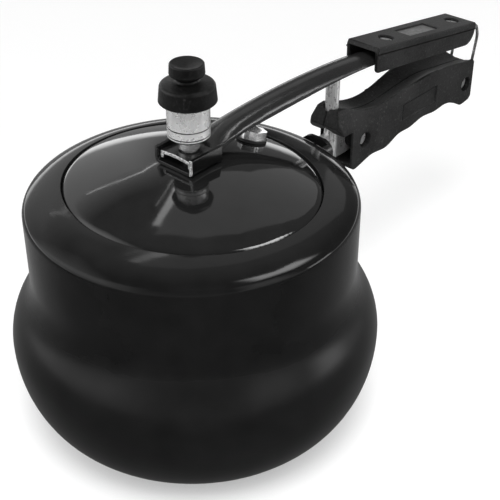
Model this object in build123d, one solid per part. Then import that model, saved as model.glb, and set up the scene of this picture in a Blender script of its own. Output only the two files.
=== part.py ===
from build123d import *
import math
import os

# Stovetop pressure cooker, in millimetres.
# Origin at the centre of the base, Z up, handles along +X.

# Pot
BASE_RADIUS = 64.4
BULGE_RADIUS = 100.0
BULGE_Z = 52.2
NECK_RADIUS = 87.0
NECK_Z = 94.5
DECK_Z = 139.1
ROLL_RADIUS = 5.0
ROLL_DROP = 10.7
CROWN_INSET = 0.2
POT_WALL = 3.2
DECK_WIDTH_X = 23.0
DECK_WIDTH_Y = 17.4
MOUTH_X = NECK_RADIUS - DECK_WIDTH_X
MOUTH_Y = NECK_RADIUS - DECK_WIDTH_Y
MOUTH_ROUND = 0.8
LIP_Z = 132.8
LIP_WALL = 3.2

# Lid and gasket
LID_WALL = 2.6
LID_GAP = 0.6
LID_TOP_Z = 151.6
DOME_RADIUS = 190.0
LID_ROLL = 12.0
# The roll meets the lid's wall at this many degrees above level
LID_ROLL_END = 50.0
FLANGE_OVERHANG = 7.3
GASKET_HEIGHT = 2.9
GASKET_GAP = 0.1
BRACKET_SEAT_Z = 151.35

# Lever bracket on the lid
BRACKET_WALL = 2.0
BRACKET_HALF = 13.0
BRACKET_BACK_X = -12.5
BRACKET_FRONT_X = 9.5
BRACKET_TOP_Z = 160.8

# Steam vent
VENT_X = -0.8
PIPE_RADIUS = 4.4
PIPE_BORE = 1.5
SPIGOT_RADIUS = 3.6
PIPE_TOP_Z = 178.0
COLLAR_Z = 160.3
COLLAR_RADIUS = 5.6

# Weight on the vent
WEIGHT_RADIUS = 10.9
WEIGHT_Z = 166.0
WEIGHT_HEIGHT = 23.0
WEIGHT_TOP_Z = WEIGHT_Z + WEIGHT_HEIGHT
WEIGHT_GROOVES = [1.9, 6.2]
NEEDLE_RADIUS = 2.4
CLIP_RISE = 3.0
CAP_LAP = 3.6
CAP_Z = WEIGHT_TOP_Z - CAP_LAP
CAP_RADIUS = 14.7
CAP_HEIGHT = 7.6
CAP_SHOULDER_Z = CAP_Z + CAP_HEIGHT
CAP_NECK_RADIUS = 5.6
CAP_NECK_RISE = 4.3
KNOB_RADIUS = 8.9
KNOB_RISE = 2.0
KNOB_HEIGHT = 6.2
KNOB_Z = CAP_SHOULDER_Z + CAP_NECK_RISE + KNOB_RISE
KNOB_TOP_Z = KNOB_Z + KNOB_HEIGHT

# Safety valve
VALVE_INSET = 17.5
VALVE_X = MOUTH_X - VALVE_INSET
VALVE_Y = 0.4
VALVE_HEX = 13.6

# Lever: each row is x, crown height, drop of the crown at the sides, half width, lower edge height
LEVER_WALL = 2.0
LEVER_ROWS = [
    (-11.0, 159.2, 0.8, 10.5, 154.4),
    (6.0, 159.3, 1.0, 10.5, 154.5),
    (26.0, 164.7, 5.0, 8.8, 157.6),
    (46.0, 166.4, 6.2, 8.3, 158.4),
    (66.0, 167.0, 6.4, 8.3, 158.8),
    (86.0, 166.9, 6.3, 8.3, 159.1),
    (106.0, 166.2, 6.0, 8.3, 159.1),
    (126.0, 164.8, 5.5, 8.3, 158.5),
    (146.0, 162.6, 5.0, 8.3, 157.0),
]
LEVER_END_ROW = (240.0, 147.9, 5.0, 8.3, 142.2)
LEVER_HOLE = 4.9

# Fulcrum post
POST_X = 116.0
POST_RADIUS = 4.0
POST_PIVOT_Z = 157.7
POST_SEAT_Z = 122.5
POST_LOW_Z = 107.0
POST_HOLE_GAP = 0.8

# Bracket that carries the body handle
STRAP_WALL = 2.5
STRAP_GAP = 0.1
STRAP_HALF_ANGLE = 17.0
STRAP_LOW_Z = 100.0
STRAP_TOP_Z = 122.0
HAT_HALF = 10.6
HAT_REACH = 15.4
HAT_LOW_Z = 101.0
HAT_TOP_Z = 123.6
HAT_ROUND = 7.0
TANG_HALF = 1.5
TANG_END_X = 152.0
TANG_LOW_Z = 104.0
RIVET_ANGLE = 10.5
RIVET_Z = 111.0
RIVET_RADIUS = 2.4

# Body handle, in two halves
BODY_HALF = 12.2
BODY_REAR_X = 253.6
NOSE_X = 108.6
NOSE_LOW_Z = 123.5
NOSE_TOP_Z = 139.2
FRONT_X = 121.5
BODY_SCREW_X = [134.2, 244.0]
BODY_SCREW_Z = [113.7, 110.8]
LEAN_Z = 146.0
# Upper sides of the body handle: x, half width at LEAN_Z, z where the lean meets the upright side
LEAN_ROWS = [
    (105.0, 2.8, 125.2),
    (130.0, 5.5, 123.5),
    (155.0, 4.4, 119.0),
    (176.0, 6.4, 124.0),
    (196.0, 10.5, 134.0),
]
HOLLOW_END_X = 148.0
HOLLOW_LOW_Z = 102.0
HOLLOW_TOP_Z = 121.8
HOLLOW_WALL = 1.8
BOSS_RADIUS = 6.8
GROOVE_DEPTH = 2.8
GROOVE_HALF = 9.6
SLOT_X = 239.2
SLOT_HALF = 5.9
SLOT_STEP_X = 249.2
SLOT_WIDE_HALF = 9.2
SLOT_LOW_Z = 100.8
SLOT_TOP_Z = 121.6

# Lid handle, built level and then tilted about the centre of its top front edge
HANDLE_X = 143.6
HANDLE_Z = 168.7
HANDLE_TILT = 8.86
HANDLE_LENGTH = 106.9
HANDLE_DEPTH = 14.2
HANDLE_FRONT_DEPTH = 15.6
HANDLE_FRONT_HALF = 11.4
HANDLE_REAR_HALF = 12.1
HANDLE_ROOF = 3.0
HANDLE_LIP = 4.2
BOSS_DEPTH = 5.5
HANDLE_SIDE = 2.3
HANDLE_SCREW_S = [22.5, 95.5]
PLATE_S = 55.0
PLATE_LENGTH = 30.5
PLATE_WIDTH = 11.2

# Wire loop that locks the two handles together
WIRE_RADIUS = 0.95
LOOP_HALF = 7.8
EYE_HALF = 4.4
EYE_RADIUS = 3.3
EYE_LENGTH = 2.4
BAR_S = 104.7
BAR_DROP = 4.9


def polar(radius, angle):
    return (radius * math.cos(math.radians(angle)), radius * math.sin(math.radians(angle)))


def profile(*edges):
    # Closed outline in the XZ plane, given as (x, z) edges, turned into a face.
    return Plane.XZ * make_face(Curve() + list(edges))


def cylinder(x, y, low, high, radius):
    return Pos(x, y, (low + high) / 2) * Cylinder(radius, high - low)


def cross_bore(x, z, radius, start, end):
    # Cylinder along Y from start to end.
    return Pos(x, (start + end) / 2, z) * Rot(90, 0, 0) * Cylinder(radius, abs(end - start))


def hex_prism(flats, height):
    return extrude(RegularPolygon(flats / 2, 6, major_radius=False), height)


def block(x0, x1, y0, y1, z0, z1):
    return Pos((x0 + x1) / 2, (y0 + y1) / 2, (z0 + z1) / 2) * Box(abs(x1 - x0), abs(y1 - y0), abs(z1 - z0))


def oval(shape, half_y, half_x):
    return scale(shape, by=(half_x / half_y, 1, 1), about=(0, 0, 0))


# Pot shell
def pot_edges(inset):
    # One side of the shell, from the base to the crown of the deck, inset from the outer face.
    foot_x = BULGE_RADIUS - BASE_RADIUS - inset
    foot_z = BULGE_Z - inset
    fall = BULGE_RADIUS - NECK_RADIUS
    rise = NECK_Z - BULGE_Z
    curve = (rise**2 + fall**2) / (4 * fall)
    bend = math.degrees(math.asin(rise / 2 / curve))
    upper = polar(curve - inset, bend)
    joint = (BULGE_RADIUS - curve + upper[0], BULGE_Z + upper[1])
    middle = polar(curve - inset, bend / 2)
    half = (BULGE_RADIUS - curve + middle[0], BULGE_Z + middle[1])
    lower = polar(curve + inset, 180 + bend / 2)
    second = (NECK_RADIUS + curve + lower[0], NECK_Z + lower[1])
    # The deck is a shallow arc that runs tangent into the tight roll at the top of the neck.
    roll = ROLL_RADIUS - inset
    centre = (NECK_RADIUS - ROLL_RADIUS, DECK_Z - ROLL_DROP)
    crown_r = MOUTH_X - CROWN_INSET
    across = centre[0] - crown_r
    arch = (across**2 + ROLL_DROP**2 - ROLL_RADIUS**2) / (2 * (ROLL_DROP - ROLL_RADIUS))
    lean = math.degrees(math.atan2(arch - ROLL_DROP, across))
    knee = polar(roll, lean / 2)
    meet = polar(roll, lean)
    brow = polar(arch - inset, (90 + lean) / 2)
    edge = (centre[0] + meet[0], centre[1] + meet[1])
    foot = EllipticalCenterArc((BASE_RADIUS, BULGE_Z), foot_x, foot_z, start_angle=270, arc_size=90)
    belly = ThreePointArc((BULGE_RADIUS - inset, BULGE_Z), half, joint)
    waist = ThreePointArc(joint, second, (NECK_RADIUS - inset, NECK_Z))
    neck = Line((NECK_RADIUS - inset, NECK_Z), (NECK_RADIUS - inset, centre[1]))
    turn = (centre[0] + knee[0], centre[1] + knee[1])
    round_over = ThreePointArc((centre[0] + roll, centre[1]), turn, edge)
    deck = ThreePointArc(edge, (crown_r + brow[0], DECK_Z - arch + brow[1]), (crown_r, DECK_Z - inset))
    return [foot, belly, waist, neck, round_over, deck]


def make_pot():
    inner_r = MOUTH_X - 4
    crown_r = MOUTH_X - CROWN_INSET
    under_z = DECK_Z - POT_WALL
    edges = pot_edges(0) + pot_edges(POT_WALL)
    edges.append(Line((0, 0), (BASE_RADIUS, 0)))
    edges.append(Line((0, POT_WALL), (BASE_RADIUS, POT_WALL)))
    edges.append(Line((0, 0), (0, POT_WALL)))
    edges.append(Line((crown_r, DECK_Z), (inner_r, DECK_Z)))
    edges.append(Line((crown_r, under_z), (inner_r, under_z)))
    edges.append(Line((inner_r, under_z), (inner_r, DECK_Z)))
    shell = revolve(profile(*edges), Axis.Z)
    lip = Pos(0, 0, LIP_Z) * extrude(Ellipse(MOUTH_X + LIP_WALL, MOUTH_Y + LIP_WALL), under_z + 1 - LIP_Z)
    round_low = DECK_Z - MOUTH_ROUND
    round_out = MOUTH_Y + MOUTH_ROUND
    turn = polar(MOUTH_ROUND, 135)
    cutter = profile(
        Line((0, LIP_Z - 4), (MOUTH_Y, LIP_Z - 4)),
        Line((MOUTH_Y, LIP_Z - 4), (MOUTH_Y, round_low)),
        ThreePointArc((MOUTH_Y, round_low), (round_out + turn[0], round_low + turn[1]), (round_out, DECK_Z)),
        Line((round_out, DECK_Z), (round_out, DECK_Z + 3)),
        Line((round_out, DECK_Z + 3), (0, DECK_Z + 3)),
        Line((0, DECK_Z + 3), (0, LIP_Z - 4)),
    )
    pot = shell + lip - oval(revolve(cutter, Axis.Z), MOUTH_Y, MOUTH_X)
    for side in (-1, 1):
        pot -= rivet_axis(side) * Cylinder(RIVET_RADIUS + 0.1, 30)
    return pot


def rivet_axis(side):
    # Frame on the neck's outer face with Z pointing out from the pot.
    x, y = polar(NECK_RADIUS, side * RIVET_ANGLE)
    return Pos(x, y, RIVET_Z) * Rot(0, 0, side * RIVET_ANGLE) * Rot(0, 90, 0)


# Lid
def lid_edges(inset):
    # Dome, rolled edge and wall of the lid, inset from the outer face.
    wall_r = MOUTH_Y - LID_GAP
    centre_z = LID_TOP_Z - DOME_RADIUS
    end = polar(1, LID_ROLL_END)
    roll_r = wall_r - LID_ROLL * end[0]
    reach = DOME_RADIUS - LID_ROLL
    roll_z = centre_z + math.sqrt(reach**2 - roll_r**2)
    lean = math.degrees(math.atan2(roll_z - centre_z, roll_r))
    dome = DOME_RADIUS - inset
    roll = LID_ROLL - inset
    meet = polar(dome, lean)
    high = polar(dome, (90 + lean) / 2)
    turn = polar(roll, (lean + LID_ROLL_END) / 2)
    top = (0, LID_TOP_Z - inset)
    join = (meet[0], centre_z + meet[1])
    side = (roll_r + roll * end[0], roll_z + roll * end[1])
    return [
        ThreePointArc(top, (high[0], centre_z + high[1]), join),
        ThreePointArc(join, (roll_r + turn[0], roll_z + turn[1]), side),
    ], side


def make_lid():
    outer, outer_side = lid_edges(0)
    inner, inner_side = lid_edges(LID_WALL)
    flange_top = LIP_Z - GASKET_GAP - GASKET_HEIGHT
    flange_low = flange_top - LID_WALL
    edge_r = MOUTH_Y - LID_GAP + FLANGE_OVERHANG
    edges = outer + inner
    edges.append(Line(outer_side, (outer_side[0], flange_top)))
    edges.append(Line((outer_side[0], flange_top), (edge_r, flange_top)))
    edges.append(Line((edge_r, flange_top), (edge_r, flange_low)))
    edges.append(Line((edge_r, flange_low), (inner_side[0], flange_low)))
    edges.append(Line((inner_side[0], flange_low), inner_side))
    edges.append(Line((0, LID_TOP_Z), (0, LID_TOP_Z - LID_WALL)))
    lid = oval(revolve(profile(*edges), Axis.Z), MOUTH_Y - LID_GAP, MOUTH_X - LID_GAP)
    lid -= block(-40, 40, -40, 40, BRACKET_SEAT_Z, BRACKET_SEAT_Z + 5)
    lid -= cylinder(VENT_X, 0, 140, 156, SPIGOT_RADIUS + 0.1)
    lid -= valve_axis() * Cylinder(4.1, 20)
    return lid


def make_gasket():
    half_x = MOUTH_X - LID_GAP
    half_y = MOUTH_Y - LID_GAP
    width = FLANGE_OVERHANG - 1.0
    ring = Ellipse(half_x + width, half_y + width) - Ellipse(half_x + 0.3, half_y + 0.3)
    return Pos(0, 0, LIP_Z - GASKET_GAP - GASKET_HEIGHT) * extrude(ring, GASKET_HEIGHT)


def valve_axis():
    # Frame on the dome at the safety valve, Z along the dome's normal.
    squash = (MOUTH_X - LID_GAP) / (MOUTH_Y - LID_GAP)
    radius = math.hypot(VALVE_X / squash, VALVE_Y)
    height = math.sqrt(DOME_RADIUS**2 - radius**2)
    lean = math.degrees(math.atan2(VALVE_X / squash**2, height))
    return Pos(VALVE_X, VALVE_Y, LID_TOP_Z - DOME_RADIUS + height) * Rot(0, lean, 0)


def make_valve():
    spot = valve_axis()
    washer = spot * Pos(0, 0, 0.05) * extrude(Circle(8.2) - Circle(4.1), 1.3)
    body = Pos(0, 0, 1.35) * (hex_prism(VALVE_HEX, 4.6) & Cylinder(7.5, 20))
    body += Pos(0, 0, -4.0) * Cylinder(4.0, 10.8)
    body -= Pos(0, 0, 0) * Cylinder(2.4, 30)
    body -= Pos(0, 0, 5.95) * Cylinder(4.6, 2.0)
    plug = Cylinder(2.3, 13.2) + Pos(0, 0, 4.95) * extrude(Circle(4.4), 1.0)
    plug += (Pos(0, 0, 2.55) * Sphere(5.6)) & block(-6, 6, -6, 6, 5.9, 12) & Cylinder(4.4, 40)
    nut = Pos(0, 0, -LID_WALL - 0.2) * Pos(0, 0, -4.2) * hex_prism(VALVE_HEX, 4.2)
    nut -= Cylinder(4.05, 40)
    return washer, spot * body, spot * plug, spot * nut


# Lever bracket
def make_lever_bracket():
    low = BRACKET_SEAT_Z
    outer = Rectangle(2 * BRACKET_HALF, BRACKET_TOP_Z - low, align=(Align.CENTER, Align.MIN))
    outer = fillet(outer.vertices().group_by(Axis.Y)[0], 3.2)
    inner = Rectangle(2 * (BRACKET_HALF - BRACKET_WALL), BRACKET_TOP_Z, align=(Align.CENTER, Align.MIN))
    inner = Pos(0, BRACKET_WALL) * fillet(inner.vertices().group_by(Axis.Y)[0], 1.2)
    length = BRACKET_FRONT_X - BRACKET_BACK_X
    channel = Pos(BRACKET_BACK_X, 0, low) * (Plane.YZ * extrude(outer - inner, length))
    return channel - cylinder(VENT_X, 0, low - 1, low + 5, SPIGOT_RADIUS + 0.1)


# Steam vent
def make_vent():
    floor = BRACKET_SEAT_Z + BRACKET_WALL
    vent = cylinder(0, 0, 140.0, floor, SPIGOT_RADIUS) + cylinder(0, 0, floor, PIPE_TOP_Z, PIPE_RADIUS)
    vent += cylinder(0, 0, COLLAR_Z, COLLAR_Z + 3.4, COLLAR_RADIUS)
    vent -= cylinder(0, 0, 130, 190, PIPE_BORE)
    vent -= Pos(0, 0, PIPE_TOP_Z - 0.6) * Cone(PIPE_BORE, PIPE_BORE + 1.2, 1.2)
    top = LID_TOP_Z - LID_WALL - 0.3
    washer = Pos(0, 0, top - 1.2) * extrude(Circle(9.0) - Circle(SPIGOT_RADIUS + 0.1), 1.2)
    nut = Pos(0, 0, top - 6.2) * (hex_prism(15.0, 5.0) - Cylinder(SPIGOT_RADIUS + 0.05, 30))
    spot = Pos(VENT_X, 0, 0)
    return spot * vent, spot * washer, spot * nut


# Weight
def make_weight():
    seat = PIPE_TOP_Z + 1.4
    weight = cylinder(0, 0, WEIGHT_Z, WEIGHT_TOP_Z, WEIGHT_RADIUS)
    weight = chamfer(weight.edges().group_by(Axis.Z)[0], 1.3)
    for rise in WEIGHT_GROOVES:
        ring = Circle(WEIGHT_RADIUS + 1) - Circle(WEIGHT_RADIUS - 0.45)
        weight -= Pos(0, 0, WEIGHT_Z + rise) * extrude(ring, 0.7)
    weight -= cylinder(0, 0, WEIGHT_Z - 1, seat, PIPE_RADIUS + 0.1)
    weight -= cylinder(0, 0, seat - 0.4, WEIGHT_TOP_Z - 2.0, NEEDLE_RADIUS + 0.1)
    clip_z = WEIGHT_Z + CLIP_RISE
    weight -= cylinder(0, 0, clip_z - 0.1, clip_z + 1.1, PIPE_RADIUS + 1.1)
    tip = NEEDLE_RADIUS - 1.2
    needle = cylinder(0, 0, PIPE_TOP_Z + 0.3, WEIGHT_TOP_Z - 2.0, NEEDLE_RADIUS)
    needle += Pos(0, 0, PIPE_TOP_Z - 0.6) * Cone(tip, NEEDLE_RADIUS, 1.8)
    clip = Pos(0, 0, clip_z) * extrude(Circle(PIPE_RADIUS + 1.0) - Circle(PIPE_RADIUS + 0.05), 1.0)
    clip -= block(PIPE_RADIUS - 1.4, PIPE_RADIUS + 3.6, -1.5, 1.5, clip_z - 1, clip_z + 2)
    spot = Pos(VENT_X, 0, 0)
    return spot * weight, spot * needle, spot * clip


def make_cap():
    top_r = CAP_RADIUS - 0.7
    neck_r = CAP_NECK_RADIUS
    neck_z = CAP_SHOULDER_Z + CAP_NECK_RISE
    seat_z = WEIGHT_TOP_Z + 0.2
    seat_r = WEIGHT_RADIUS + 0.15
    brow = polar(2.2, 50)
    outline = profile(
        Line((0, seat_z), (seat_r, seat_z)),
        Line((seat_r, seat_z), (seat_r, CAP_Z)),
        Line((seat_r, CAP_Z), (CAP_RADIUS - 0.6, CAP_Z)),
        Line((CAP_RADIUS - 0.6, CAP_Z), (CAP_RADIUS, CAP_Z + 0.6)),
        Line((CAP_RADIUS, CAP_Z + 0.6), (top_r, CAP_SHOULDER_Z)),
        ThreePointArc(
            (top_r, CAP_SHOULDER_Z),
            (top_r - 2.2 + brow[0], CAP_SHOULDER_Z + brow[1]),
            (top_r - 1.6, CAP_SHOULDER_Z + 2.1),
        ),
        Line((top_r - 1.6, CAP_SHOULDER_Z + 2.1), (neck_r + 1.2, neck_z - 1.3)),
        ThreePointArc((neck_r + 1.2, neck_z - 1.3), (neck_r + 0.3, neck_z - 0.8), (neck_r, neck_z)),
        Line((neck_r, neck_z), (KNOB_RADIUS - 0.9, KNOB_Z)),
        ThreePointArc(
            (KNOB_RADIUS - 0.9, KNOB_Z),
            (KNOB_RADIUS - 0.1, KNOB_Z + 0.6),
            (KNOB_RADIUS, KNOB_Z + 1.5),
        ),
        Line((KNOB_RADIUS, KNOB_Z + 1.5), (KNOB_RADIUS - 0.2, KNOB_TOP_Z - 0.8)),
        ThreePointArc(
            (KNOB_RADIUS - 0.2, KNOB_TOP_Z - 0.8),
            (KNOB_RADIUS - 0.5, KNOB_TOP_Z - 0.2),
            (KNOB_RADIUS - 1.2, KNOB_TOP_Z),
        ),
        Line((KNOB_RADIUS - 1.2, KNOB_TOP_Z), (0, KNOB_TOP_Z - 1.9)),
        Line((0, KNOB_TOP_Z - 1.9), (0, 189.2)),
    )
    return Pos(VENT_X, 0, 0) * revolve(outline, Axis.Z)


# Lever
def lever_section(row, inset):
    x, crown, drop, half, low = row
    side = half - inset
    fall = drop * (side / half) ** 2
    peak = crown - inset
    bottom = low if inset == 0 else low - 6
    outline = Curve() + [
        ThreePointArc((-side, peak - fall), (0, peak), (side, peak - fall)),
        Line((side, peak - fall), (side, bottom)),
        Line((side, bottom), (-side, bottom)),
        Line((-side, bottom), (-side, peak - fall)),
    ]
    return Pos(x, 0, 0) * (Plane.YZ * make_face(outline))


def lever_solid(inset):
    sections = [lever_section(row, inset) for row in LEVER_ROWS]
    front = loft(sections[:2])
    middle = loft(sections[1:])
    rear = loft([sections[-1], lever_section(LEVER_END_ROW, inset)])
    return front + middle + rear


def make_lever():
    lever = lever_solid(0) - lever_solid(LEVER_WALL)
    lever -= cylinder(VENT_X, 0, 150, 165, LEVER_HOLE)
    for along in HANDLE_SCREW_S:
        lever -= handle_frame() * Pos(along, 0, -10) * Cylinder(2.2, 24)
    return lever


# Lid handle
def handle_frame():
    return Pos(HANDLE_X, 0, HANDLE_Z) * Rot(0, HANDLE_TILT, 0)


def make_lid_handle():
    length = HANDLE_LENGTH
    side = make_face(
        FilletPolyline(
            (0, 0),
            (length, 0),
            (length, -HANDLE_DEPTH),
            (1.5, -HANDLE_FRONT_DEPTH),
            (-1.0, -3.0),
            radius=[1.0, 1.4, 9.0, 3.0, 1.0],
            close=True,
        )
    )
    solid = extrude(Plane.XZ * side, 20, both=True)

    def plan(inset):
        front = HANDLE_FRONT_HALF - inset
        rear = HANDLE_REAR_HALF - inset
        shape = make_face(Polyline((-4, -front), (length, -rear), (length, rear), (-4, front), close=True))
        return Pos(0, 0, -30) * extrude(shape, 40)

    roof = solid & plan(0) & block(-5, length + 5, -20, 20, -HANDLE_LIP, 1)
    roof = chamfer(roof.faces().sort_by(Axis.Z)[-1].edges(), 0.7)
    skirt = solid & plan(0.35) & block(-5, length + 5, -20, 20, -20, -HANDLE_LIP)
    channel = HANDLE_FRONT_HALF - HANDLE_SIDE
    handle = roof + skirt - block(-5, length - 7.1, -channel, channel, -20, -HANDLE_ROOF)
    for along in HANDLE_SCREW_S:
        handle += Pos(along, 0, -(HANDLE_ROOF + BOSS_DEPTH) / 2) * Cylinder(5.6, BOSS_DEPTH - HANDLE_ROOF)
        handle -= Pos(along, 0, -10) * Cylinder(2.2, 24)
        handle -= Pos(along, 0, 0) * Cylinder(4.7, 6.4)
    edge = PLATE_LENGTH / 2
    half = PLATE_WIDTH / 2
    handle -= block(PLATE_S - edge, PLATE_S + edge, -half, half, -1.4, 1)
    plate = block(PLATE_S - edge + 0.2, PLATE_S + edge - 0.2, -half + 0.2, half - 0.2, -1.4, -0.8)
    start = BAR_S - WIRE_RADIUS - 0.6
    floor = -BAR_DROP - WIRE_RADIUS - 0.35
    notch = make_face(
        Polyline(
            (start, -BAR_DROP + WIRE_RADIUS + 0.4),
            (length + 5, -BAR_DROP + WIRE_RADIUS + 0.4),
            (length + 5, floor - 0.35 * (length + 5 - start)),
            (start, floor),
            close=True,
        )
    )
    handle -= extrude(Plane.XZ * notch, 9.6, both=True)
    screws = []
    nuts = []
    for along in HANDLE_SCREW_S:
        head = Pos(along, 0, -2.4) * Cylinder(4.2, 1.6) - Pos(along, 0, -1.6) * Box(1.2, 9, 1.6)
        screws.append(handle_frame() * (head + Pos(along, 0, -7.5) * Cylinder(2.0, 9.0)))
        nut = hex_prism(6.8, 2.6) - Cylinder(2.05, 20)
        nuts.append(handle_frame() * Pos(along, 0, -11.5) * nut)
    return handle_frame() * handle, handle_frame() * plate, Compound(screws), Compound(nuts)


# Body handle
def body_side():
    # Side outline of the body handle, seen along Y.
    top = Spline(
        (121.5, NOSE_TOP_Z),
        (131.0, 135.2),
        (143.0, 131.0),
        (155.0, 129.7),
        (168.0, 130.8),
        (185.0, 132.5),
        (203.0, 133.0),
        (221.0, 131.6),
        (BODY_REAR_X - 3.0, 126.2),
        tangents=[(1, -0.12), (1, -0.2)],
    )
    under = Spline(
        (FRONT_X + 3.0, 97.4),
        (143.0, 100.8),
        (157.0, 99.8),
        (169.0, 103.6),
        (181.0, 103.6),
        (194.0, 105.6),
        (209.0, 104.3),
        (222.0, 104.8),
        (238.0, 98.2),
        (BODY_REAR_X - 4.0, 98.0),
        tangents=[(1, 0.1), (1, 0.15)],
    )
    return profile(
        top,
        Line((121.5, NOSE_TOP_Z), (NOSE_X + 3.0, NOSE_TOP_Z)),
        Line((NOSE_X + 3.0, NOSE_TOP_Z), (NOSE_X, NOSE_LOW_Z + 5.5)),
        Line((NOSE_X, NOSE_LOW_Z + 5.5), (NOSE_X + 4.5, NOSE_LOW_Z)),
        Line((NOSE_X + 4.5, NOSE_LOW_Z), (FRONT_X, NOSE_LOW_Z)),
        Line((FRONT_X, NOSE_LOW_Z), (FRONT_X, 99.4)),
        Line((FRONT_X, 99.4), (FRONT_X + 3.0, 97.4)),
        under,
        Line((BODY_REAR_X - 4.0, 98.0), (BODY_REAR_X, 101.4)),
        Line((BODY_REAR_X, 101.4), (BODY_REAR_X, 123.0)),
        Line((BODY_REAR_X, 123.0), (BODY_REAR_X - 3.0, 126.2)),
    )


def make_body_half(side):
    # side is -1 for the half nearer -Y and 1 for the other.
    half = extrude(body_side(), BODY_HALF, dir=(0, side, 0))
    outline = make_face(
        Polyline(
            (NOSE_X - 1, 0),
            (NOSE_X - 1, side * 8.0),
            (NOSE_X + 3.0, side * BODY_HALF),
            (BODY_REAR_X - 2.0, side * BODY_HALF),
            (BODY_REAR_X + 0.1, side * (BODY_HALF - 2.1)),
            (BODY_REAR_X + 0.1, 0),
            close=True,
        )
    )
    half &= Pos(0, 0, 80) * extrude(outline, 80)
    # The upper side leans in along the nose and the waist, and is upright further back.
    shaves = []
    for x, inner, low in LEAN_ROWS:
        outer = side * (BODY_HALF + 6)
        edge = side * (BODY_HALF + 0.3)
        corners = Polyline((side * inner, LEAN_Z), (edge, low), (outer, low), (outer, LEAN_Z), close=True)
        shaves.append(Pos(x, 0, 0) * (Plane.YZ * make_face(corners)))
    half -= loft(shaves)
    half -= groove()
    inner = BODY_HALF - HOLLOW_WALL
    hollow = block(FRONT_X - 1, HOLLOW_END_X, -inner, inner, HOLLOW_LOW_Z, HOLLOW_TOP_Z)
    half -= hollow - cross_bore(BODY_SCREW_X[0], BODY_SCREW_Z[0], BOSS_RADIUS, -20, 20)
    slit = TANG_HALF + 0.2
    half -= block(80, TANG_END_X + 0.4, -slit, slit, TANG_LOW_Z - 0.4, POST_SEAT_Z + 1.4)
    half -= cylinder(POST_X, 0, POST_LOW_Z - 5, NOSE_TOP_Z + 10, POST_RADIUS + POST_HOLE_GAP)
    for x, z in zip(BODY_SCREW_X, BODY_SCREW_Z):
        half -= cross_bore(x, z, 2.2, -20, 20)
        if side < 0:
            half -= cross_bore(x, z, 4.7, -20, -6.8)
        else:
            half -= Pos(x, 6.8, z) * Rot(-90, 0, 0) * hex_prism(7.4, 20)
    half -= block(SLOT_X, SLOT_STEP_X + 1, -SLOT_HALF, SLOT_HALF, SLOT_LOW_Z, SLOT_TOP_Z)
    half -= block(SLOT_STEP_X, BODY_REAR_X + 6, -SLOT_WIDE_HALF, SLOT_WIDE_HALF, SLOT_LOW_Z, SLOT_TOP_Z)
    frame = block(172.5, 208.5, side * (BODY_HALF - 0.7), side * (BODY_HALF + 1), 111.6, 122.4)
    return half - frame


def groove():
    # Scoop along the top of the grip, deepest on the parting plane.
    radius = (GROOVE_HALF**2 + GROOVE_DEPTH**2) / (2 * GROOVE_DEPTH)
    rise = radius - GROOVE_DEPTH
    path = FilletPolyline(
        (118.0, 0, 141.9 + rise),
        (146.0, 0, 129.0 + rise),
        (200.0, 0, 133.4 + rise),
        (262.0, 0, 123.9 + rise),
        radius=[48.0, 120.0],
    )
    start = Plane(origin=path @ 0, z_dir=path % 0)
    return sweep(start * Circle(radius), path=path)


def make_body_screws():
    screws = []
    nuts = []
    for x, z in zip(BODY_SCREW_X, BODY_SCREW_Z):
        head = cross_bore(x, z, 4.2, -9.0, -6.8) - Pos(x, -9.0, z) * Box(1.2, 1.6, 9)
        screws.append(head + cross_bore(x, z, 2.0, -6.9, 9.8))
        nut = Pos(x, 6.8, z) * Rot(-90, 0, 0) * (hex_prism(6.9, 2.6) - Cylinder(2.05, 20))
        nuts.append(nut)
    return Compound(screws), Compound(nuts)


# Bracket and post
def make_strap():
    outer = NECK_RADIUS + STRAP_GAP + STRAP_WALL
    ring = Circle(outer) - Circle(NECK_RADIUS + STRAP_GAP)
    reach = polar(outer + 30, STRAP_HALF_ANGLE)
    wedge = make_face(Polyline((0, 0), (reach[0], -reach[1]), (reach[0], reach[1]), close=True))
    strap = Pos(0, 0, STRAP_LOW_Z) * extrude(ring & wedge, STRAP_TOP_Z - STRAP_LOW_Z)
    # The middle of the strap stands out from the pot as a hat with rounded upper corners.
    hat = Rectangle(2 * HAT_HALF, HAT_TOP_Z - HAT_LOW_Z, align=(Align.CENTER, Align.MIN))
    hat = fillet(hat.vertices().group_by(Axis.Y)[-1], HAT_ROUND)
    end = outer + HAT_REACH
    middle = Pos(outer - 8, 0, HAT_LOW_Z) * (Plane.YZ * extrude(hat, HAT_REACH + 8))
    inner = HAT_HALF - STRAP_WALL
    middle -= block(0, end - STRAP_WALL, -inner, inner, HAT_LOW_Z - 1, HAT_TOP_Z + 1)
    strap -= block(0, outer + 5, -inner, inner, STRAP_LOW_Z - 1, STRAP_TOP_Z + 1)
    strap += middle - cylinder(0, 0, HAT_LOW_Z - 1, HAT_TOP_Z + 1, NECK_RADIUS + STRAP_GAP)
    for side in (-1, 1):
        strap -= rivet_axis(side) * Cylinder(RIVET_RADIUS + 0.1, 30)
    return strap


def make_tang():
    start = NECK_RADIUS + STRAP_GAP + STRAP_WALL + HAT_REACH
    tang = block(start, TANG_END_X, -TANG_HALF, TANG_HALF, TANG_LOW_Z, POST_SEAT_Z)
    tang -= cross_bore(BODY_SCREW_X[0], BODY_SCREW_Z[0], 2.2, -20, 20)
    return tang


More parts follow.
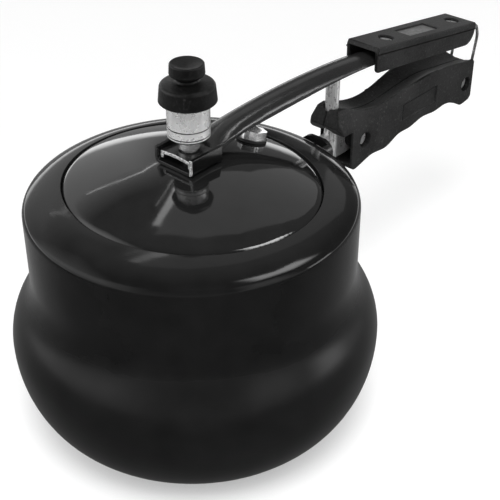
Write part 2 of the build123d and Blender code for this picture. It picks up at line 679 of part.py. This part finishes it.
def make_rivets():
    rivets = []
    head_z = STRAP_GAP + STRAP_WALL
    for side in (-1, 1):
        shank = cylinder(0, 0, -POT_WALL - 0.2, head_z, RIVET_RADIUS)
        head = Pos(0, 0, head_z) * (Pos(0, 0, -3.2) * Sphere(5.6) & Pos(0, 0, 5) * Box(12, 12, 10))
        tail = cylinder(0, 0, -POT_WALL - 1.8, -POT_WALL - 0.2, 4.2)
        rivets.append(rivet_axis(side) * (shank + head + tail))
    return Compound(rivets)


def make_post():
    # The foot of the post is forked over the tang, and its top is rounded about the hinge axis.
    post = cylinder(POST_X, 0, POST_LOW_Z, POST_PIVOT_Z + POST_RADIUS, POST_RADIUS)
    top = cross_bore(POST_X, POST_PIVOT_Z, POST_RADIUS, -6, 6)
    post &= block(POST_X - 6, POST_X + 6, -6, 6, 100, POST_PIVOT_Z) + top
    return post - block(POST_X - 6, POST_X + 6, -TANG_HALF - 0.1, TANG_HALF + 0.1, 100, POST_SEAT_Z)


# Lock loop
def make_loop():
    # Bent wire with an eye at each end that turns on the rear screw of the body handle.
    bar = handle_frame() * Pos(BAR_S, 0, -BAR_DROP)
    pivot_x = BODY_SCREW_X[1]
    pivot_z = BODY_SCREW_Z[1]
    leg = [
        (pivot_x + 2.3, EYE_HALF, pivot_z + 2.0),
        (BODY_REAR_X - 2.8, EYE_HALF, pivot_z + 5.8),
        (BODY_REAR_X + 2.0, LOOP_HALF, pivot_z + 10.4),
        (BODY_REAR_X + 5.6, LOOP_HALF, pivot_z + 28.8),
        (BODY_REAR_X + 2.8, LOOP_HALF, pivot_z + 36.6),
        (bar.position.X, LOOP_HALF, bar.position.Z),
    ]
    points = [(x, -y, z) for x, y, z in leg] + leg[::-1]
    path = FilletPolyline(*points, radius=[3.0, 3.0, 9.0, 3.5, 2.5, 2.5, 3.5, 9.0, 3.0, 3.0])
    loop = sweep(Plane(origin=path @ 0, z_dir=path % 0) * Circle(WIRE_RADIUS), path=path)
    for side in (-1, 1):
        middle = side * EYE_HALF
        loop += cross_bore(pivot_x, pivot_z, EYE_RADIUS, middle - EYE_LENGTH / 2, middle + EYE_LENGTH / 2)
    return loop - cross_bore(pivot_x, pivot_z, 2.06, -8, 8)


vent, vent_washer, vent_nut = make_vent()
valve_washer, valve_body, valve_plug, valve_nut = make_valve()
weight, needle, clip = make_weight()
lid_handle, lid_plate, lid_screws, lid_nuts = make_lid_handle()
body_screws, body_nuts = make_body_screws()

nodes = {
    "pot_body": make_pot(),
    "bracket_strap": make_strap(),
    "handle_bracket": make_tang(),
    "bracket_rivets": make_rivets(),
    "fulcrum_post": make_post(),
    "body_handle_right": make_body_half(-1),
    "body_handle_left": make_body_half(1),
    "body_handle_screws": body_screws,
    "body_handle_nuts": body_nuts,
    "lever": make_lever(),
    "lid_handle": lid_handle,
    "lid_handle_plate": lid_plate,
    "lid_handle_screws": lid_screws,
    "lid_handle_nuts": lid_nuts,
    "lid": make_lid(),
    "gasket": make_gasket(),
    "lever_bracket": make_lever_bracket(),
    "steam_vent": vent,
    "vent_washer": vent_washer,
    "vent_nut": vent_nut,
    "safety_valve_washer": valve_washer,
    "safety_valve_body": valve_body,
    "safety_valve_plug": valve_plug,
    "safety_valve_nut": valve_nut,
    "regulator_weight": weight,
    "regulator_needle": needle,
    "regulator_clip": clip,
    "regulator_cap": make_cap(),
    "lock_loop": make_loop(),
}

os.makedirs("parts", exist_ok=True)
for name, shape in nodes.items():
    export_step(shape, "parts/" + name + ".step")
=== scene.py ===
import math
import bmesh
import bpy
from mathutils import Matrix, Vector

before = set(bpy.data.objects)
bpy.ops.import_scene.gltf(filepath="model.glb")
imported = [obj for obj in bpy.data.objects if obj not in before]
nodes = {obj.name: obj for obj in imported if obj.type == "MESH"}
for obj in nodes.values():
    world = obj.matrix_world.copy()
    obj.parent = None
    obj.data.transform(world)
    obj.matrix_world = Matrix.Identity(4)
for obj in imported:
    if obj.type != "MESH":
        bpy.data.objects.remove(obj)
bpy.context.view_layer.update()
scene = bpy.context.scene
MM = 0.001

# Camera fitted to the photograph: the handles point away to the right
LOOK_ANGLE = math.radians(48.4)
LOOK_DOWN = math.radians(33.89)
IMAGE_PX = 500
FOCAL_PX = 1118.0
SENSOR_WIDTH = 36.0
# A point inside the pot, the pixel that shows it and its distance along the view, in metres
AIM = Vector((0, 0, 0.060))
AIM_PX = (195.9, 306.0)
AIM_DISTANCE = 0.616
# Level directions as the viewer sees them, and straight up
AHEAD = Vector((math.sin(LOOK_ANGLE), math.cos(LOOK_ANGLE), 0))
RIGHT = Vector((math.cos(LOOK_ANGLE), -math.sin(LOOK_ANGLE), 0))
UP = Vector((0, 0, 1))


def make_camera():
    forward = AHEAD * math.cos(LOOK_DOWN) - UP * math.sin(LOOK_DOWN)
    above = RIGHT.cross(forward)
    across = (AIM_PX[0] - IMAGE_PX / 2) / FOCAL_PX * AIM_DISTANCE
    down = (AIM_PX[1] - IMAGE_PX / 2) / FOCAL_PX * AIM_DISTANCE
    eye = AIM - forward * AIM_DISTANCE - RIGHT * across + above * down
    data = bpy.data.cameras.new("camera")
    data.sensor_width = SENSOR_WIDTH
    data.lens = FOCAL_PX / IMAGE_PX * SENSOR_WIDTH
    camera = bpy.data.objects.new("camera", data)
    turn = Matrix((RIGHT, above, -forward)).transposed().to_4x4()
    camera.matrix_world = Matrix.Translation(eye) @ turn
    scene.collection.objects.link(camera)
    scene.camera = camera


make_camera()
scene.view_settings.view_transform = "Standard"


# Building blocks for the materials and the world
class NodeTree:
    def __init__(self, tree):
        self.tree = tree

    def add(self, kind, **values):
        node = self.tree.nodes.new(kind)
        for key, value in values.items():
            setattr(node, key, value)
        return node

    def link(self, source, target):
        self.tree.links.new(source, target)

    def put(self, value, socket):
        # A number is set on the socket, and another socket is linked to it.
        if isinstance(value, (int, float)):
            socket.default_value = value
        else:
            self.link(value, socket)

    def math(self, operation, *values):
        node = self.add("ShaderNodeMath", operation=operation)
        for value, socket in zip(values, node.inputs):
            self.put(value, socket)
        return node.outputs["Value"]

    def mix(self, factor, first, second, blend="MIX"):
        # Blends two colours. A number stands for a grey.
        node = self.add("ShaderNodeMix", data_type="RGBA", blend_type=blend)
        self.put(factor, node.inputs["Factor"])
        for key, value in (("A", first), ("B", second)):
            if isinstance(value, (int, float)):
                node.inputs[key].default_value = (value, value, value, 1)
            else:
                self.link(value, node.inputs[key])
        return node.outputs["Result"]

    def ramp(self, factor, stops):
        # Greys at given places between nought and one.
        node = self.add("ShaderNodeValToRGB")
        points = node.color_ramp.elements
        while len(points) < len(stops):
            points.new(0.5)
        for point, (place, grey) in zip(points, stops):
            point.position = place
            point.color = (grey, grey, grey, 1)
        self.link(factor, node.inputs["Fac"])
        return node.outputs["Color"]

    def along(self, vector, axis, start, end, first, last):
        # Passes smoothly from first to last, while the vector's part along the axis passes
        # from start to end.
        part = self.add("ShaderNodeVectorMath", operation="DOT_PRODUCT")
        part.inputs[1].default_value = axis
        self.link(vector, part.inputs[0])
        step = self.add("ShaderNodeMapRange", interpolation_type="SMOOTHSTEP")
        limits = {"From Min": start, "From Max": end, "To Min": first, "To Max": last}
        for key, value in limits.items():
            step.inputs[key].default_value = value
        self.link(part.outputs["Value"], step.inputs["Value"])
        return step.outputs["Result"]

    def seen_by_camera(self):
        return self.add("ShaderNodeLightPath").outputs["Is Camera Ray"]

    def seen_in_mirrors(self):
        path = self.add("ShaderNodeLightPath")
        return self.math("MAXIMUM", path.outputs["Is Glossy Ray"], path.outputs["Is Transmission Ray"])


class Shader(NodeTree):
    def __init__(self, name):
        self.material = bpy.data.materials.new(name)
        self.material.use_nodes = True
        super().__init__(self.material.node_tree)
        self.surface = self.tree.nodes["Principled BSDF"]

    def set(self, name, value):
        self.put(value, self.surface.inputs[name])

    def position(self):
        # Object coordinates in metres, as sockets called X, Y and Z.
        place = self.add("ShaderNodeTexCoord")
        split = self.add("ShaderNodeSeparateXYZ")
        self.link(place.outputs["Object"], split.inputs["Vector"])
        return split.outputs

    def noise(self, scale, detail, rough=0.55, stretch=(1, 1, 1)):
        place = self.add("ShaderNodeTexCoord")
        mapping = self.add("ShaderNodeMapping")
        mapping.inputs["Scale"].default_value = stretch
        self.link(place.outputs["Object"], mapping.inputs["Vector"])
        node = self.add("ShaderNodeTexNoise")
        node.inputs["Scale"].default_value = scale
        node.inputs["Detail"].default_value = detail
        node.inputs["Roughness"].default_value = rough
        self.link(mapping.outputs["Vector"], node.inputs["Vector"])
        return node.outputs["Fac"]

    def spread(self, noise, low, high):
        # Most of a noise's range, stretched between two values.
        return self.ramp(noise, [(0.3, low), (0.7, high)])

    def bump(self, height, strength, distance, normal=None):
        node = self.add("ShaderNodeBump")
        node.inputs["Strength"].default_value = strength
        node.inputs["Distance"].default_value = distance
        self.link(height, node.inputs["Height"])
        if normal is not None:
            self.link(normal, node.inputs["Normal"])
        return node.outputs["Normal"]

    def glow(self, strength):
        node = self.add("ShaderNodeEmission")
        self.link(strength, node.inputs["Strength"])
        return node.outputs["Emission"]

    def both(self, first, second):
        node = self.add("ShaderNodeAddShader")
        self.link(first, node.inputs[0])
        self.link(second, node.inputs[1])
        return node.outputs["Shader"]

    def replace_surface(self, source):
        self.tree.nodes.remove(self.surface)
        self.link(source, self.tree.nodes["Material Output"].inputs["Surface"])


# Height in millimetres over which the pot's finish changes
FINISH_HEIGHT = 140.0


def pot_finish():
    # Black anodised pot: glossy deck and shoulder, satin belly with faint turned lines.
    look = Shader("black_pot")
    look.set("Specular IOR Level", 0.17)
    level = look.math("DIVIDE", look.position()["Z"], FINISH_HEIGHT * MM)
    paint = look.spread(look.noise(60, 4), 0.0055, 0.0085)
    deck = look.ramp(level, [(0.955, 0.0), (0.985, 0.008)])
    look.set("Base Color", look.mix(1.0, paint, deck, "ADD"))
    gloss = look.ramp(level, [(0.0, 0.36), (0.55, 0.30), (0.74, 0.14), (0.93, 0.09)])
    cloudy = look.math("MULTIPLY_ADD", look.noise(25, 3), 0.06, -0.03)
    look.set("Roughness", look.math("ADD", gloss, cloudy))
    turned = look.noise(1.0, 2, stretch=(6, 6, 1800))
    look.set("Normal", look.bump(turned, 0.035, 0.0002))
    return look.material


def lid_finish():
    look = Shader("polished_black")
    look.set("Specular IOR Level", 0.5)
    look.set("Base Color", look.spread(look.noise(80, 4), 0.0085, 0.0115))
    look.set("Roughness", look.spread(look.noise(40, 3), 0.045, 0.075))
    look.set("Normal", look.bump(look.noise(1500, 2), 0.02, 0.0001))
    return look.material


# Sheared ends that show bare metal, in millimetres: the lever's, and the saddle's on one side
LEVER_BARE_X = -10.7
SADDLE_BARE_X = -12.2
SADDLE_BARE_Y = -10.9


def enamel_finish(name, low, high, rough, bare_x=None, bare_y=None):
    # Black stoving enamel. Below bare_x, and bare_y where given, a sheared end shows glittering metal.
    look = Shader(name)
    look.set("Specular IOR Level", 0.5)
    colour = look.spread(look.noise(90, 4), low, high)
    gloss = look.spread(look.noise(55, 4), rough - 0.03, rough + 0.05)
    look.set("Normal", look.bump(look.noise(1100, 3), 0.02, 0.0001))
    if bare_x is not None:
        place = look.position()
        bare = look.math("LESS_THAN", place["X"], bare_x * MM)
        if bare_y is not None:
            bare = look.math("MULTIPLY", bare, look.math("LESS_THAN", place["Y"], bare_y * MM))
        glitter = look.ramp(look.noise(1500, 4, rough=0.7), [(0.38, 0.05), (0.50, 0.45), (0.62, 0.95)])
        colour = look.mix(bare, colour, glitter)
        gloss = look.math("MAXIMUM", gloss, look.math("MULTIPLY", bare, 0.5))
        look.set("Metallic", look.math("MULTIPLY", bare, 0.35))
    look.set("Base Color", colour)
    look.set("Roughness", gloss)
    return look.material


def worn_edges(look, radius, stops):
    # How far the rounded normal leaves the face's own: nothing on flats, more along sharp edges.
    soft = look.add("ShaderNodeBevel", samples=6)
    soft.inputs["Radius"].default_value = radius
    plain = look.add("ShaderNodeNewGeometry")
    match = look.add("ShaderNodeVectorMath", operation="DOT_PRODUCT")
    look.link(soft.outputs["Normal"], match.inputs[0])
    look.link(plain.outputs["True Normal"], match.inputs[1])
    return look.ramp(look.math("SUBTRACT", 1.0, match.outputs["Value"]), stops)


# Top plane of the tilted lid handle, how far below it the moulding's seam runs along the sides, and the
# width of the shadow line painted along that seam
HANDLE_FRONT_X = 143.6
HANDLE_FRONT_Z = 168.7
HANDLE_TILT = math.radians(8.86)
HANDLE_SIDE_Y = 10.9
SEAM_DROP = 4.3
SHADOW_LINE_WIDTH = 0.45


def lip_shadow_line(look):
    # Painted shadow line: one along the narrow seam under the lid handle's lip, where its skirt meets
    # the lip, nought elsewhere.
    place = look.position()
    back = look.math("SUBTRACT", place["X"], HANDLE_FRONT_X * MM)
    rise = look.math("SUBTRACT", place["Z"], HANDLE_FRONT_Z * MM)
    back = look.math("MULTIPLY", back, math.sin(HANDLE_TILT))
    rise = look.math("MULTIPLY", rise, math.cos(HANDLE_TILT))
    below = look.math("ADD", look.math("ADD", back, rise), SEAM_DROP * MM)
    near = look.math("LESS_THAN", look.math("ABSOLUTE", below), SHADOW_LINE_WIDTH / 2 * MM)
    side = look.math("GREATER_THAN", look.math("ABSOLUTE", place["Y"]), HANDLE_SIDE_Y * MM)
    return look.math("MULTIPLY", near, side)


def bakelite_finish(name, low, high, rough, shine, relief=0.0003, painted_shade=None):
    # Matte phenolic moulding with a fine mineral grain, pale specks and rubbed edges.
    look = Shader(name)
    look.set("Specular IOR Level", shine)
    cloud = look.noise(45, 5)
    grain = look.noise(750, 5, rough=0.75)
    speck = look.noise(620, 2)
    mixed = look.math("MULTIPLY_ADD", grain, 0.55, look.math("MULTIPLY", cloud, 0.45))
    colour = look.ramp(mixed, [(0.45, low), (0.55, high)])
    dust = look.ramp(speck, [(0.60, 0.0), (0.74, high * 2.0)])
    colour = look.mix(1.0, colour, dust, "ADD")
    rubbed = worn_edges(look, 0.0007, [(0.03, 0.0), (0.22, high * 1.5)])
    patchy = look.ramp(look.noise(220, 4, rough=0.7), [(0.42, 0.1), (0.62, 1.0)])
    colour = look.mix(patchy, colour, rubbed, "ADD")
    # Painted shade: where the mask is one, the colour turns near black.
    if painted_shade is not None:
        colour = look.mix(painted_shade(look), colour, 0.0005)
    look.set("Base Color", colour)
    look.set("Roughness", look.spread(cloud, rough - 0.05, rough + 0.06))
    grained = look.bump(grain, 0.25, relief)
    look.set("Normal", look.bump(speck, 0.15, 0.0004, grained))
    return look.material


def zinc_finish(name, low, high, rough, metallic=1.0):
    look = Shader(name)
    look.set("Metallic", metallic)
    look.set("Base Color", look.spread(look.noise(260, 5), low, high))
    look.set("Roughness", look.spread(look.noise(320, 4), rough - 0.06, rough + 0.08))
    look.set("Normal", look.bump(look.noise(900, 3), 0.12, 0.0003))
    return look.material


# Regulator weight: axis, radius inside its grooves, height below which they lie
WEIGHT_X = -0.8
GROOVE_RADIUS = 10.72
GROOVES_BELOW_Z = 172.9


def weight_grooves(look):
    # One inside the grooves turned into the foot of the weight, where shade is painted dark, nought
    # elsewhere.
    place = look.position()
    off = look.math("SUBTRACT", place["X"], WEIGHT_X * MM)
    squares = look.math("MULTIPLY", off, off), look.math("MULTIPLY", place["Y"], place["Y"])
    sunk = look.math("LESS_THAN", look.math("ADD", *squares), (GROOVE_RADIUS * MM) ** 2)
    return look.math("MULTIPLY", sunk, look.math("LESS_THAN", place["Z"], GROOVES_BELOW_Z * MM))


def steel_finish(name, low, high, rough, metallic, painted_shade=None):
    # Turned steel: fine tool marks run round the vertical axis and draw reflections out upright.
    look = Shader(name)
    look.set("Metallic", metallic)
    look.set("Anisotropic", 0.75)
    look.set("Anisotropic Rotation", 0.25)
    tangent = look.add("ShaderNodeTangent", direction_type="RADIAL", axis="Z")
    look.set("Tangent", tangent.outputs["Tangent"])
    colour = look.spread(look.noise(120, 3), low, high)
    # Painted shade: where the mask is one, the colour turns near black.
    if painted_shade is not None:
        colour = look.mix(painted_shade(look), colour, 0.03)
    look.set("Base Color", colour)
    look.set("Roughness", look.spread(look.noise(200, 3), rough - 0.04, rough + 0.04))
    return look.material


def post_finish():
    # Zinc-plated rod with dark drawn streaks along it.
    look = Shader("streaked_zinc")
    look.set("Metallic", 0.6)
    streaks = look.noise(1.0, 4, rough=0.65, stretch=(900, 900, 55))
    look.set("Base Color", look.ramp(streaks, [(0.34, 0.16), (0.46, 0.66), (0.60, 0.88)]))
    look.set("Roughness", look.spread(look.noise(300, 3), 0.24, 0.36))
    look.set("Normal", look.bump(streaks, 0.2, 0.0003))
    return look.material


def rubber_finish():
    look = Shader("black_rubber")
    look.set("Base Color", look.spread(look.noise(150, 4), 0.008, 0.014))
    look.set("Roughness", look.spread(look.noise(90, 3), 0.55, 0.7))
    look.set("Normal", look.bump(look.noise(1200, 3), 0.12, 0.0003))
    return look.material


def plate_finish():
    look = Shader("grey_plate")
    look.set("Metallic", 0.6)
    look.set("Base Color", look.spread(look.noise(700, 4), 0.10, 0.22))
    look.set("Roughness", look.spread(look.noise(300, 3), 0.38, 0.52))
    look.set("Normal", look.bump(look.noise(900, 3), 0.15, 0.0002))
    return look.material


POT = pot_finish()
LID = lid_finish()
ENAMEL = enamel_finish("satin_black_enamel", low=0.008, high=0.013, rough=0.24)
LEVER = enamel_finish("lever_enamel", low=0.012, high=0.017, rough=0.20, bare_x=LEVER_BARE_X)
SADDLE = enamel_finish(
    "saddle_enamel", low=0.004, high=0.007, rough=0.12, bare_x=SADDLE_BARE_X, bare_y=SADDLE_BARE_Y
)
BAKELITE = bakelite_finish("black_bakelite", low=0.003, high=0.015, rough=0.52, shine=0.26)
# The lid handle carries a painted shadow line under its lip.
LID_GRIP = bakelite_finish(
    "lid_handle_bakelite", low=0.003, high=0.017, rough=0.52, shine=0.26, painted_shade=lip_shadow_line
)
CAP = bakelite_finish("cap_bakelite", low=0.002, high=0.006, rough=0.42, shine=0.24, relief=0.0008)
ZINC = zinc_finish("bright_zinc", low=0.60, high=0.85, rough=0.30, metallic=0.72)
WIRE = zinc_finish("dull_wire", low=0.22, high=0.50, rough=0.28)
POST = post_finish()
ALLOY = zinc_finish("plain_alloy", low=0.45, high=0.60, rough=0.35)
STEEL = steel_finish("polished_steel", low=0.72, high=0.84, rough=0.18, metallic=0.75)
# The weight's grooves get painted shade.
WEIGHT = steel_finish(
    "brushed_weight", low=0.90, high=0.98, rough=0.28, metallic=0.62, painted_shade=weight_grooves
)
RUBBER = rubber_finish()
PLATE = plate_finish()

LOOKS = {
    "pot_body": POT,
    "bracket_strap": ENAMEL,
    "handle_bracket": ZINC,
    "bracket_rivets": ALLOY,
    "fulcrum_post": POST,
    "body_handle_right": BAKELITE,
    "body_handle_left": BAKELITE,
    "body_handle_screws": ZINC,
    "body_handle_nuts": ZINC,
    "lever": LEVER,
    "lid_handle": LID_GRIP,
    "lid_handle_plate": PLATE,
    "lid_handle_screws": ZINC,
    "lid_handle_nuts": ZINC,
    "lid": LID,
    "gasket": RUBBER,
    "lever_bracket": SADDLE,
    "steam_vent": STEEL,
    "vent_washer": RUBBER,
    "vent_nut": STEEL,
    "safety_valve_washer": RUBBER,
    "safety_valve_body": STEEL,
    "safety_valve_plug": STEEL,
    "safety_valve_nut": STEEL,
    "regulator_weight": WEIGHT,
    "regulator_needle": STEEL,
    "regulator_clip": ZINC,
    "regulator_cap": CAP,
    "lock_loop": WIRE,
}

# Smooth shading: points this close are one, and edges sharper than this stay sharp
WELD_DISTANCE = 2e-6
SHARP_ANGLE = math.radians(28)
# Rounding of sharp edges: width in millimetres, and what counts as flat and as an edge
ROUNDED = {
    "body_handle_right": 0.7,
    "body_handle_left": 0.7,
    "lid_handle": 0.6,
    "lever_bracket": 0.3,
    "lever": 0.5,
}
FLAT_ANGLE = math.radians(0.5)
EDGE_ANGLE = math.radians(35)


def smoothing_group():
    # Geometry nodes that weld a CAD mesh and shade it smooth except along sharp edges.
    group = bpy.data.node_groups.new("smooth_cad", "GeometryNodeTree")
    group.interface.new_socket("Geometry", in_out="INPUT", socket_type="NodeSocketGeometry")
    group.interface.new_socket("Geometry", in_out="OUTPUT", socket_type="NodeSocketGeometry")
    start = group.nodes.new("NodeGroupInput")
    weld = group.nodes.new("GeometryNodeMergeByDistance")
    weld.inputs["Distance"].default_value = WELD_DISTANCE
    faces = group.nodes.new("GeometryNodeSetShadeSmooth")
    edges = group.nodes.new("GeometryNodeSetShadeSmooth")
    edges.domain = "EDGE"
    edges.inputs["Shade Smooth"].default_value = False
    angle = group.nodes.new("GeometryNodeInputMeshEdgeAngle")
    sharp = group.nodes.new("FunctionNodeCompare")
    sharp.data_type = "FLOAT"
    sharp.operation = "GREATER_THAN"
    sharp.inputs[1].default_value = SHARP_ANGLE
    end = group.nodes.new("NodeGroupOutput")
    join = group.links.new
    join(start.outputs[0], weld.inputs["Geometry"])
    join(weld.outputs["Geometry"], faces.inputs["Geometry"])
    join(faces.outputs["Geometry"], edges.inputs["Geometry"])
    join(angle.outputs["Unsigned Angle"], sharp.inputs[0])
    join(sharp.outputs["Result"], edges.inputs["Selection"])
    join(edges.outputs["Geometry"], end.inputs[0])
    return group


SMOOTH = smoothing_group()


def round_edges(obj, width):
    flat = obj.modifiers.new("flat", "DECIMATE")
    flat.decimate_type = "DISSOLVE"
    flat.angle_limit = FLAT_ANGLE
    bevel = obj.modifiers.new("edges", "BEVEL")
    bevel.width = width * MM
    bevel.segments = 2
    bevel.limit_method = "ANGLE"
    bevel.angle_limit = EDGE_ANGLE
    bevel.harden_normals = True
    bevel.use_clamp_overlap = False


def dress_nodes():
    for name, obj in nodes.items():
        obj.data.materials.clear()
        obj.data.materials.append(LOOKS[name])
        smooth = obj.modifiers.new("smooth", "NODES")
        smooth.node_group = SMOOTH
        if name in ROUNDED:
            round_edges(obj, ROUNDED[name])


dress_nodes()


# Floor, in metres: half its width, and how far it lies below the pot
FLOOR_SIZE = 6.0
FLOOR_DROP = 0.0003
# Its tone for light that bounces off it and for the camera, and the glow that the camera sees on top
FLOOR_TONE = 0.86
FLOOR_SEEN = 0.38
FLOOR_LIFT = 0.72
# How far from the pot that glow is held back, and how strongly: a contact shadow painted round the pot
CONTACT_REACH = 0.02
CONTACT_POWER = 0.4
# What reflections see of it: where the fade along the view starts and ends, brightness at either end
FLOOR_FADE = (-0.20, 0.10, 0.10, 0.36)


def floor_finish():
    # White table. Reflections see a glow in its place, painted darker towards the viewer as a painted
    # reflection.
    look = Shader("pale_floor")
    camera = look.seen_by_camera()
    matte = look.add("ShaderNodeBsdfDiffuse")
    look.link(look.ramp(camera, [(0.0, FLOOR_TONE), (1.0, FLOOR_SEEN)]), matte.inputs["Color"])
    # Painted contact shadow: the glow dims where ambient occlusion finds the pot close.
    close = look.add("ShaderNodeAmbientOcclusion", samples=12)
    close.inputs["Distance"].default_value = CONTACT_REACH
    open_share = look.math("POWER", close.outputs["AO"], CONTACT_POWER)
    lift = look.math("MULTIPLY", camera, FLOOR_LIFT)
    lit = look.both(matte.outputs["BSDF"], look.glow(look.math("MULTIPLY", lift, open_share)))
    place = look.add("ShaderNodeTexCoord").outputs["Object"]
    mirrored = look.glow(look.along(place, AHEAD, *FLOOR_FADE))
    pick = look.add("ShaderNodeMixShader")
    look.link(look.seen_in_mirrors(), pick.inputs["Fac"])
    look.link(lit, pick.inputs[1])
    look.link(mirrored, pick.inputs[2])
    look.replace_surface(pick.outputs["Shader"])
    return look.material


def make_floor():
    mesh = bpy.data.meshes.new("floor")
    work = bmesh.new()
    bmesh.ops.create_grid(work, x_segments=2, y_segments=2, size=FLOOR_SIZE)
    work.to_mesh(mesh)
    work.free()
    mesh.materials.append(floor_finish())
    floor = bpy.data.objects.new("floor", mesh)
    floor.location.z = -FLOOR_DROP
    scene.collection.objects.link(floor)


# Brightness that reflections see, by the sine of the height above the horizon
HORIZON = [(0.0, 2.2), (0.05, 1.8), (0.11, 0.0), (1.0, 0.0)]
LEFT_SKY = [(0.0, 0.70), (0.5, 0.90), (0.58, 0.60), (0.70, 0.13), (0.86, 0.17)]
RIGHT_SKY = [(0.0, 0.28), (0.3, 0.18), (0.6, 0.17), (0.86, 0.17)]
# Where a change starts and ends, along the view or across it, and the share at either end
FRONT_SHARE = (-0.45, 0.35, 0.34, 1.0)
LEFT_EDGE = (-0.28, -0.04, 1.0, 0.0)
# Even light that falls on everything from the sky
AMBIENT = 0.34


def make_world():
    # White to the camera, an even grey as a light, and a studio with dark and pale sides in reflections.
    world = bpy.data.worlds.new("studio")
    scene.world = world
    world.use_nodes = True
    sky = NodeTree(world.node_tree)
    towards = sky.add("ShaderNodeTexCoord").outputs["Generated"]
    split = sky.add("ShaderNodeSeparateXYZ")
    sky.link(towards, split.inputs["Vector"])
    height = split.outputs["Z"]
    left_share = sky.along(towards, RIGHT, *LEFT_EDGE)
    sides = sky.mix(left_share, sky.ramp(height, RIGHT_SKY), sky.ramp(height, LEFT_SKY))
    around = sky.mix(1.0, sides, sky.ramp(height, HORIZON), "ADD")
    studio = sky.mix(1.0, around, sky.along(towards, AHEAD, *FRONT_SHARE), "MULTIPLY")
    lit = sky.mix(sky.seen_in_mirrors(), AMBIENT, studio)
    shown = sky.mix(sky.seen_by_camera(), lit, 1.0)
    sky.link(shown, sky.tree.nodes["Background"].inputs["Color"])


def heading(right, above):
    # Unit vector at so many degrees right of the view and above the horizon.
    turn = math.radians(right)
    rise = math.radians(above)
    level = AHEAD * math.cos(turn) + RIGHT * math.sin(turn)
    return level * math.cos(rise) + UP * math.sin(rise)


# Lamps and cards, in metres: the points that they stand around, and how far off
LAMP_CENTRE = Vector((0, 0, 0.08))
LAMP_DISTANCE = 1.3
CARD_CENTRE = Vector((0, 0, 0.15))
CARD_DISTANCE = 3.0


def softbox(name, right, above, size, watts):
    # Area lamp aimed at the pot. The cards below stand for it in reflections.
    data = bpy.data.lights.new(name, "AREA")
    data.shape = "DISK"
    data.size = size
    data.energy = watts
    lamp = bpy.data.objects.new(name, data)
    lamp.location = LAMP_CENTRE + heading(right, above) * LAMP_DISTANCE
    lamp.rotation_euler = (LAMP_CENTRE - lamp.location).to_track_quat("-Z", "Y").to_euler()
    scene.collection.objects.link(lamp)
    lamp.visible_glossy = False


def card_finish(name):
    # Glow taken from the mesh, and clear otherwise.
    look = Shader(name)
    level = look.add("ShaderNodeAttribute", attribute_name="glow")
    clear = look.add("ShaderNodeBsdfTransparent")
    look.replace_surface(look.both(look.glow(level.outputs["Fac"]), clear.outputs["BSDF"]))
    return look.material


def studio_card(name, strength, soft, corners):
    # Glowing card that only reflections see, given by the headings of its corners. Its glow fades
    # out towards the edges over the share called soft.
    rim = [CARD_CENTRE + heading(*corner) * CARD_DISTANCE for corner in corners]
    count = len(rim)
    middle = sum(rim, Vector()) / count
    spots = [spot.lerp(middle, soft) for spot in rim]
    faces = [list(range(count))]
    if soft:
        spots += rim
        faces += [[k, (k + 1) % count, count + (k + 1) % count, count + k] for k in range(count)]
    mesh = bpy.data.meshes.new(name)
    mesh.from_pydata([tuple(spot) for spot in spots], [], faces)
    level = mesh.attributes.new("glow", "FLOAT", "POINT")
    for k, item in enumerate(level.data):
        item.value = strength if k < count else 0.0
    mesh.materials.append(card_finish(name))
    card = bpy.data.objects.new(name, mesh)
    scene.collection.objects.link(card)
    card.visible_camera = False
    card.visible_diffuse = False
    card.visible_shadow = False
    card.visible_transmission = False


def ribbon(path, width):
    # Corners of a narrow band of even width, in degrees, that runs along a path of headings.
    left = []
    right = []
    for k, (across, above) in enumerate(path):
        before = path[max(k - 1, 0)]
        after = path[min(k + 1, len(path) - 1)]
        shrink = math.cos(math.radians(above))
        run = Vector(((after[0] - before[0]) * shrink, after[1] - before[1])).normalized()
        shift = (run.y * width / 2 / shrink, -run.x * width / 2)
        left.append((across - shift[0], above - shift[1]))
        right.append((across + shift[0], above + shift[1]))
    return left + right[::-1]


# How much lower a wall's upper corners are than its middle, in degrees
WALL_SLOPE = 6


def wall(first, last, low, high):
    # Corners of a broad upright panel between two headings.
    middle = (first + last) / 2
    ends = high - WALL_SLOPE
    return [(first, low), (middle, low), (last, low), (last, ends), (middle, high), (first, ends)]


# Studio panels that the glossy black parts mirror: strength, softness, corners as headings
PANEL = [
    (-6, 40), (-17, 56), (-38, 65), (-6, 72), (25, 66), (36, 50), (38, 27), (29, 17), (18, 17), (12, 31),
]
RIM_PANEL = [(71, 41), (88, 50), (118, 63), (122, 74), (88, 62), (71, 54)]
EDGE_STRIP = [(84, 1), (104, 1), (104, 12), (84, 12)]
STRIP_PATH = [(-7.5, 42), (-12.5, 50), (-18.5, 55.5), (-32, 62)]
THIN_PATH = [(-10.5, 41.5), (-16.5, 49), (-23, 53.5)]
LINE_PATH = [(-12, 29), (-17.5, 33), (-24, 34), (-35, 31.5)]
CARDS = {
    "grey_panel": (0.42, 0, PANEL),
    "bright_strip": (3.2, 0, ribbon(STRIP_PATH, 2.2)),
    "thin_strip": (2.6, 0, ribbon(THIN_PATH, 0.3)),
    "thin_line": (4.5, 0, ribbon(LINE_PATH, 0.4)),
    "left_wall": (2.0, 0.75, wall(-150, -60, -4, 57)),
    "right_wall": (1.6, 0.7, wall(108, 152, -4, 56)),
    "rim_panel": (12.0, 0.4, RIM_PANEL),
    "edge_strip": (6.0, 0, EDGE_STRIP),
}

make_floor()
make_world()
softbox("front_top", right=178.0, above=66.0, size=0.55, watts=12.0)
softbox("front_low", right=172.0, above=22.0, size=0.6, watts=7.0)
for title, (strength, soft, corners) in CARDS.items():
    studio_card(title, strength, soft, corners)
